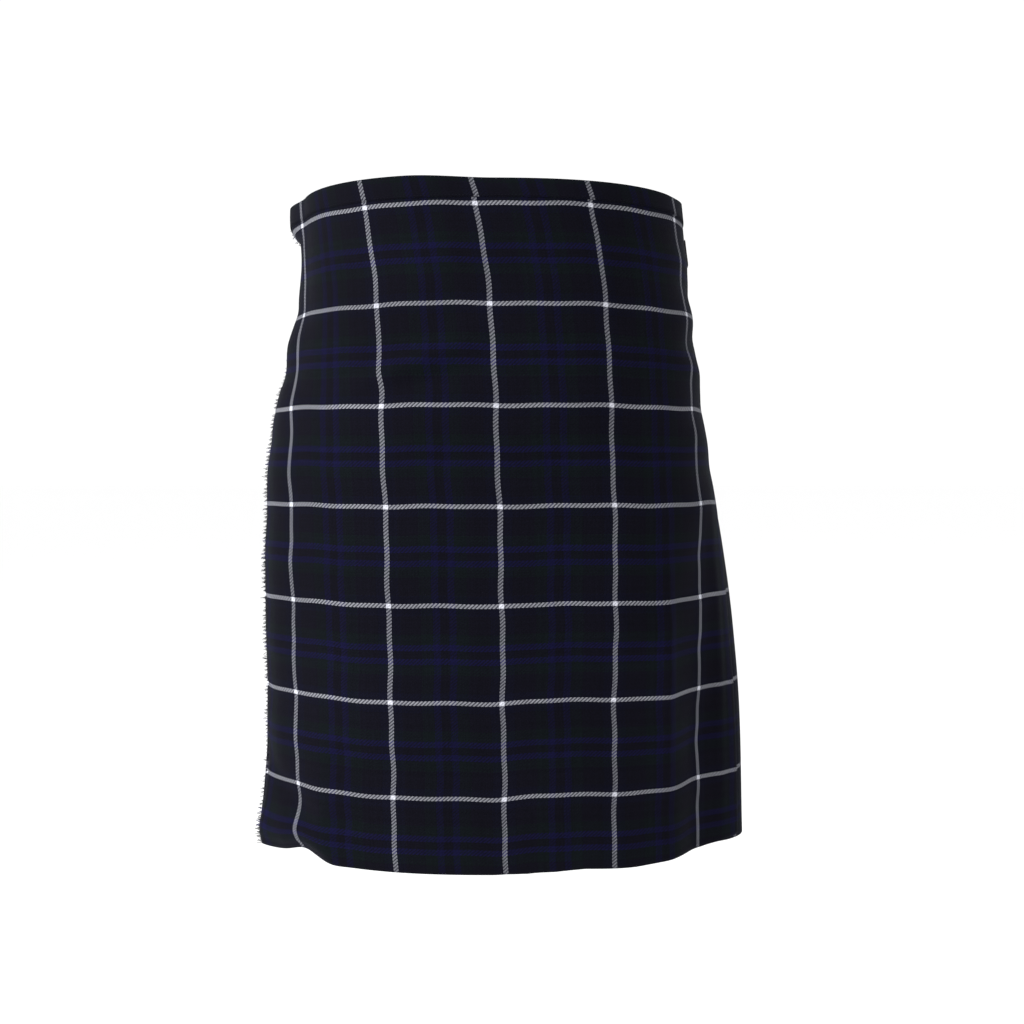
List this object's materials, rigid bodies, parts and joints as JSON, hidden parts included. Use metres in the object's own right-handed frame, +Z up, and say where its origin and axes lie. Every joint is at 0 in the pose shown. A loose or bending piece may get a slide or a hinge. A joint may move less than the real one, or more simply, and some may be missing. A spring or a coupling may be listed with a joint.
{
  "type": "scottish kilt",
  "caption": "Wraparound tartan kilt filled out as worn, with a flat fringed front apron, knife pleats round the back, a waistband and side straps.",
  "frame": {"origin": "the middle of the waist, level with the straps, where the wearer holds the kilt up", "axes": "+Z up along the drop, -Y the way the wearer faces, +X the wearer's left"},
  "size_m": [0.479, 0.3613, 0.6111],
  "materials": {
    "tartan_cloth": "twill-woven wool-type cloth in black, dark green and navy, with paired blue lines and a white overcheck",
    "waistband_cloth": "the same tartan, cut as a strip and folded over the top edge",
    "fringe_yarn": "loose weft yarns in the tartan's colours",
    "strap_leather": "plain black strap leather with a stitched edge",
    "buckle_metal": "polished nickel-plated wire"
  },
  "bodies": {
    "root": {"over_apron": "tartan_cloth", "over_apron_fringe": "fringe_yarn", "pleats_left": "tartan_cloth", "pleats_centre": "tartan_cloth", "pleats_right": "tartan_cloth", "under_apron": "tartan_cloth", "waistband_front": "waistband_cloth", "waistband_back": "waistband_cloth", "waistband_under": "waistband_cloth", "strap_left": "strap_leather", "strap_right": "strap_leather", "buckle_tab_left": "strap_leather", "buckle_tab_right": "strap_leather", "buckle_left": "buckle_metal", "buckle_right": "buckle_metal", "buckle_tongue_left": "buckle_metal", "buckle_tongue_right": "buckle_metal"}
  },
  "joints": []
}
